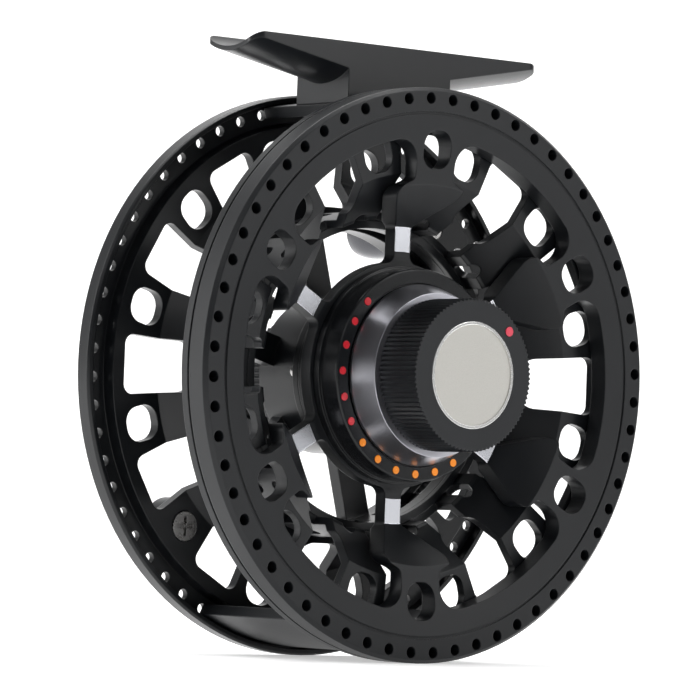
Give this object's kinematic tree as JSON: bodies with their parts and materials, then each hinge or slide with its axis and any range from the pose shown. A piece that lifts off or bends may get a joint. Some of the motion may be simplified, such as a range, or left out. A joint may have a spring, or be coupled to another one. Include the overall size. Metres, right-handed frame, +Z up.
{
  "type": "fly reel",
  "caption": "Large-arbor fly reel with an open spoked frame, front drag knob with a dotted dial, drilled spool with palming rim, handle, counterweight and a curved foot",
  "frame": {"origin": "rod seat: the lowest line of the trough in the foot's top, halfway along the foot", "axes": "+Z up, +X along the foot, +Y from the drag side to the handle side, parallel to the spool's axis"},
  "size_m": [0.09, 0.0576, 0.0969],
  "materials": {
    "frame": "satin black anodised, machined",
    "reel_foot": "satin black anodised",
    "foot_screws": "bare steel",
    "dial_ring": "satin black anodised",
    "dial_dots_red": "red enamel",
    "dial_dots_orange": "orange enamel",
    "dial_dots_yellow": "yellow enamel",
    "drag_knob": "polished gunmetal anodised",
    "drag_knob_grip": "satin black, finely ribbed",
    "knob_medallion": "bead blasted silver",
    "pointer_dot": "red enamel",
    "knob_screw": "bare steel",
    "knob_seal": "rubber",
    "spindle": "ground steel",
    "spindle_nut": "bare steel",
    "spindle_screw": "bare steel",
    "thrust_plate": "turned",
    "thrust_pins": "ground",
    "thrust_ring": "bare steel",
    "front_disc_spring": "spring steel",
    "rear_disc_spring": "spring steel",
    "pressure_plate": "ground",
    "friction_discs": "carbon fibre friction material",
    "steel_discs": "ground",
    "disc_dowels": "ground",
    "housing_cap": "satin black anodised",
    "cap_screws": "bare steel",
    "shaft_seal": "rubber",
    "drive_hub": "ground",
    "front_bearing": "ball bearing",
    "rear_bearing": "ball bearing",
    "clutch_cup": "drawn steel",
    "clutch_rollers": "hardened steel",
    "drive_sleeve": "turned steel",
    "spool_carrier": "satin black anodised, machined",
    "line_cassette": "satin black",
    "cassette_lock_ring": "satin black anodised",
    "release_knob": "satin black, ribbed",
    "release_latch": "bare steel",
    "release_circlip": "spring steel",
    "handle_grip": "polished gunmetal",
    "handle_stud": "turned steel",
    "handle_washer": "bare steel",
    "counterweight": "brass, blackened",
    "counterweight_screw": "bare steel"
  },
  "bodies": {
    "reel": {"frame": "frame", "reel_foot": "reel_foot", "foot_screws": "foot_screws", "dial_ring": "dial_ring", "dial_dots_red": "dial_dots_red", "dial_dots_orange": "dial_dots_orange", "dial_dots_yellow": "dial_dots_yellow", "knob_screw": "knob_screw", "knob_seal": "knob_seal", "spindle": "spindle", "spindle_nut": "spindle_nut", "spindle_screw": "spindle_screw", "steel_discs": "steel_discs", "disc_dowels": "disc_dowels", "housing_cap": "housing_cap", "cap_screws": "cap_screws", "shaft_seal": "shaft_seal"},
    "knob": {"drag_knob": "drag_knob", "drag_knob_grip": "drag_knob_grip", "knob_medallion": "knob_medallion", "pointer_dot": "pointer_dot"},
    "pressure": {"thrust_plate": "thrust_plate", "thrust_pins": "thrust_pins", "thrust_ring": "thrust_ring", "front_disc_spring": "front_disc_spring", "rear_disc_spring": "rear_disc_spring", "pressure_plate": "pressure_plate"},
    "drag_drum": {"drive_hub": "drive_hub", "friction_discs": "friction_discs", "front_bearing": "front_bearing", "rear_bearing": "rear_bearing"},
    "spool": {"spool_carrier": "spool_carrier", "line_cassette": "line_cassette", "cassette_lock_ring": "cassette_lock_ring", "drive_sleeve": "drive_sleeve", "clutch_cup": "clutch_cup", "clutch_rollers": "clutch_rollers", "release_circlip": "release_circlip", "handle_stud": "handle_stud", "handle_washer": "handle_washer", "counterweight": "counterweight", "counterweight_screw": "counterweight_screw"},
    "handle": {"handle_grip": "handle_grip"},
    "release": {"release_knob": "release_knob"},
    "latch": {"release_latch": "release_latch"}
  },
  "joints": [
    {"name": "spool_spin", "type": "hinge", "parent": "reel", "child": "spool", "pos_m": [0, 0, -0.0498], "axis": [0, 1, 0], "continuous": true},
    {"name": "drag_drum_spin", "type": "hinge", "parent": "reel", "child": "drag_drum", "pos_m": [0, 0.0032, -0.0498], "axis": [0, 1, 0], "continuous": true},
    {"name": "handle_spin", "type": "hinge", "parent": "spool", "child": "handle", "pos_m": [0.02496, 0.0232, -0.02484], "axis": [0, 1, 0], "continuous": true},
    {"name": "drag_knob_turn", "type": "hinge", "parent": "reel", "child": "knob", "pos_m": [0, -0.0218, -0.0498], "axis": [0, 1, 0], "range_deg": [0, 270]},
    {"name": "pressure_slide", "type": "slide", "parent": "reel", "child": "pressure", "axis": [0, 1, 0], "range_m": [0, 0.0006]},
    {"name": "release_knob_turn", "type": "hinge", "parent": "spool", "child": "release", "pos_m": [0, 0.0172, -0.0498], "axis": [0, 1, 0], "range_deg": [0, 60]},
    {"name": "latch_slide", "type": "slide", "parent": "spool", "child": "latch", "axis": [1, 0, 0], "range_m": [0, 0.0008]}
  ],
  "couplings": [
    {"joint": "drag_drum_spin", "follows": "spool_spin", "ratio": 1},
    {"joint": "pressure_slide", "follows": "drag_knob_turn", "m_per_rad": 0.0001273},
    {"joint": "latch_slide", "follows": "release_knob_turn", "m_per_rad": 0.000763}
  ]
}
